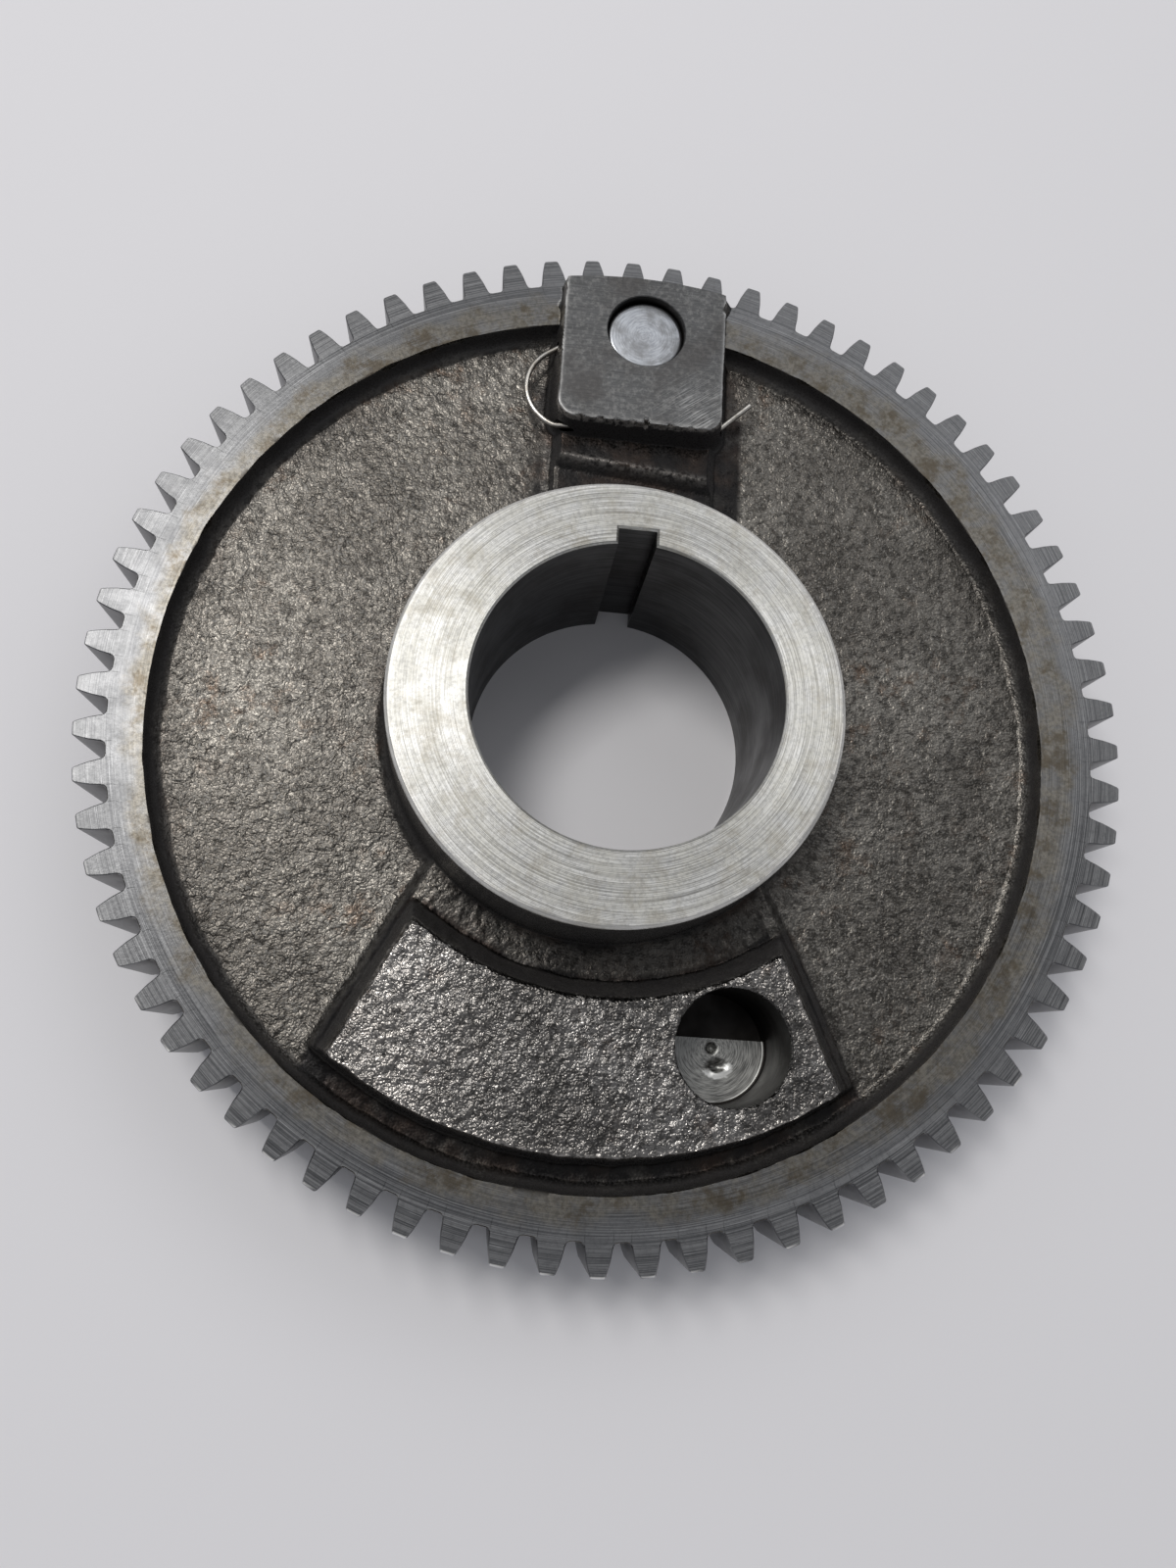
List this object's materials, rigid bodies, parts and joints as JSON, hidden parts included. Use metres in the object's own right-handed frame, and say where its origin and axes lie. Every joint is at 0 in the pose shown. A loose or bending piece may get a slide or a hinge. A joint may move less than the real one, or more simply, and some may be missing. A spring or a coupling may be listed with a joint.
{
  "type": "spur gear with lock pin",
  "caption": "Cast-iron spur gear with a keyed hub, a cast counterweight, and a sliding lock pin that a bent wire spring holds in its boss.",
  "frame": {"origin": "on the gear axis, at the back face of the hub, which is the face that the gear lies on", "axes": "+Z out of the front, the side with the longer hub; +Y from the axis through the keyway and the lock-pin boss; the counterweight is towards -Y"},
  "size_m": [0.1342, 0.1342, 0.028],
  "materials": {
    "cast_iron": "machined teeth, rim and hub faces, sand-cast web, light oil",
    "pin_steel": "turned end, worn",
    "spring_steel": "drawn wire, bright"
  },
  "bodies": {
    "gear": {"gear": "cast_iron", "detent_spring": "spring_steel"},
    "lock_pin": {"lock_pin": "pin_steel"}
  },
  "joints": [
    {"name": "lock_pin_slide", "type": "slide", "parent": "gear", "child": "lock_pin", "axis": [0, 0, 1], "range_m": [0, 0.0127], "deforming": ["detent_spring"]}
  ]
}
